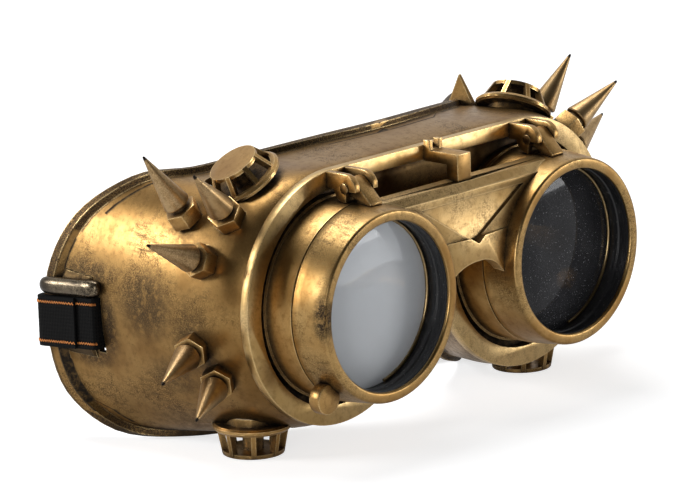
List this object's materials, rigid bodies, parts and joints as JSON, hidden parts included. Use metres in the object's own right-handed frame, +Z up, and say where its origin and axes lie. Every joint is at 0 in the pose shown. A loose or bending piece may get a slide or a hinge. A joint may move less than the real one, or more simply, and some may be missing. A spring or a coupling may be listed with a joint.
{
  "type": "steampunk goggles",
  "caption": "Spiked antique-gold steampunk goggles with a flip-up twin lens frame, vents, temple spikes and an elastic strap",
  "frame": {"origin": "on the ground plane, below the middle of the bounding box", "axes": "+X is the wearer's left, to the right when the front is seen; -Y is the front, the way the wearer looks; +Z is up"},
  "size_m": [0.212, 0.1067, 0.0959],
  "materials": {
    "antique_gold": "metallic antique gold paint, worn and speckled with black patina",
    "dark_gold": "darkened antique gold paint",
    "black_lining": "satin black",
    "lens": "lightly smoked clear sheet, dusty",
    "webbing": "ribbed black elastic webbing with orange stitching"
  },
  "bodies": {
    "mask": {"mask_shell": "antique_gold", "front_bezel": "antique_gold", "socket_plate": "dark_gold", "eye_tube_left": "antique_gold", "eye_tube_right": "antique_gold", "hinge_ears_left": "antique_gold", "hinge_ears_right": "antique_gold", "hinge_pin_left": "dark_gold", "hinge_pin_right": "dark_gold", "catch_bracket": "antique_gold", "vent_top_left": "antique_gold", "vent_top_right": "antique_gold", "vent_bottom_left": "antique_gold", "vent_bottom_right": "antique_gold", "spikes_left": "antique_gold", "spikes_right": "antique_gold", "spike_nuts_left": "antique_gold", "spike_nuts_right": "antique_gold", "spike_screws_left": "dark_gold", "spike_screws_right": "dark_gold", "strap_lug_left": "dark_gold", "strap_lug_right": "dark_gold", "strap_loop_left": "webbing", "strap_loop_right": "webbing", "head_strap": "webbing"},
    "lens_frame": {"flip_bridge": "antique_gold", "finger_tab": "antique_gold", "barrel_left": "antique_gold", "barrel_right": "antique_gold", "hinge_arm_left": "antique_gold", "hinge_arm_right": "antique_gold", "lens_left": "lens", "lens_right": "lens", "lens_sleeve_left": "black_lining", "lens_sleeve_right": "black_lining", "retaining_ring_left": "antique_gold", "retaining_ring_right": "antique_gold"}
  },
  "joints": [
    {"name": "lens_frame_flip", "type": "hinge", "parent": "mask", "child": "lens_frame", "pos_m": [0, -0.0391, 0.0812], "axis": [-1, 0, 0], "range_deg": [0, 95]}
  ]
}
